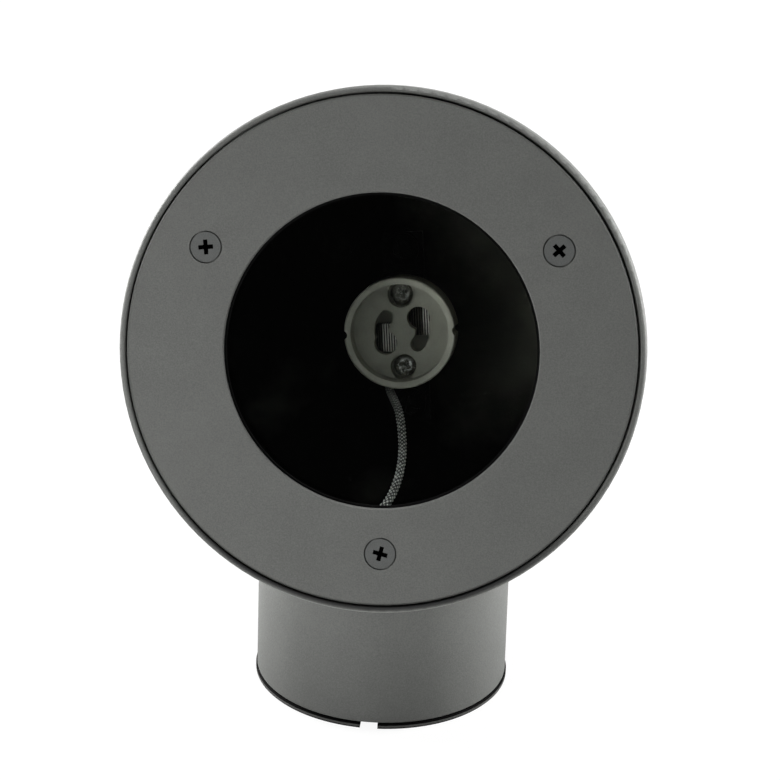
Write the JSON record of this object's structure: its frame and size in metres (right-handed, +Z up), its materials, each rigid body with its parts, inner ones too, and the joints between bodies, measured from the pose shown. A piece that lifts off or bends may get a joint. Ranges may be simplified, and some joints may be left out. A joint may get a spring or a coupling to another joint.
{
  "type": "garden spotlight",
  "caption": "Short garden spotlight: round tilted head with a screwed cover ring, glass and twist-lock lampholder, on a stub post with an anchor foot.",
  "frame": {"origin": "on the ground, on the axis of the post, at the centre of the circle of anchor holes", "axes": "+Z up along the post; the lamp looks towards -Y, tilted 20 degrees upwards; +X to the right, seen from the front"},
  "size_m": [0.1206, 0.1119, 0.1521],
  "materials": {
    "powder_coat": "fine-textured anthracite powder coat on aluminium",
    "black_rubber": "matt moulded rubber",
    "black_plastic": "moulded",
    "terminal_plastic": "moulded, natural",
    "zinc_steel": "bright zinc plate",
    "stainless_steel": "satin",
    "brass": "turned",
    "earth_insulation": "green and yellow sleeve",
    "core_insulation": "heat-resisting sleeve",
    "braided_sleeve": "braided glass fibre",
    "ceramic": "unglazed ceramic",
    "nickel_contact": "nickel plate, ribbed",
    "clear_glass": "clear toughened"
  },
  "bodies": {
    "post_and_head": {"mounting_foot": "powder_coat", "post_tube": "powder_coat", "head_housing": "powder_coat", "base_pad": "black_rubber", "cable_grommet": "black_rubber", "lead_grommet": "black_rubber", "cover_seal": "black_rubber", "cord_clamp": "black_plastic", "terminal_block": "terminal_plastic", "clamp_screws": "zinc_steel", "terminal_screws": "zinc_steel", "terminal_fixing_screw": "zinc_steel", "lampholder_screws": "zinc_steel", "bracket_screws": "zinc_steel", "foot_set_screws": "stainless_steel", "head_set_screws": "stainless_steel", "lampholder_bracket": "stainless_steel", "earth_screw": "brass", "earth_lead": "earth_insulation", "lead_cores": "core_insulation", "lamp_lead": "braided_sleeve", "lampholder_body": "ceramic", "lampholder_contacts": "nickel_contact"},
    "front_cover": {"cover_ring": "powder_coat", "cover_screws": "stainless_steel", "screw_seals": "black_rubber", "glass_seal": "black_rubber", "glass_lens": "clear_glass", "glass_clips": "stainless_steel", "clip_screws": "zinc_steel"}
  },
  "joints": [
    {"name": "cover_lift_off", "type": "slide", "parent": "post_and_head", "child": "front_cover", "axis": [0, -0.9397, 0.342], "range_m": [0, 0.06]}
  ]
}
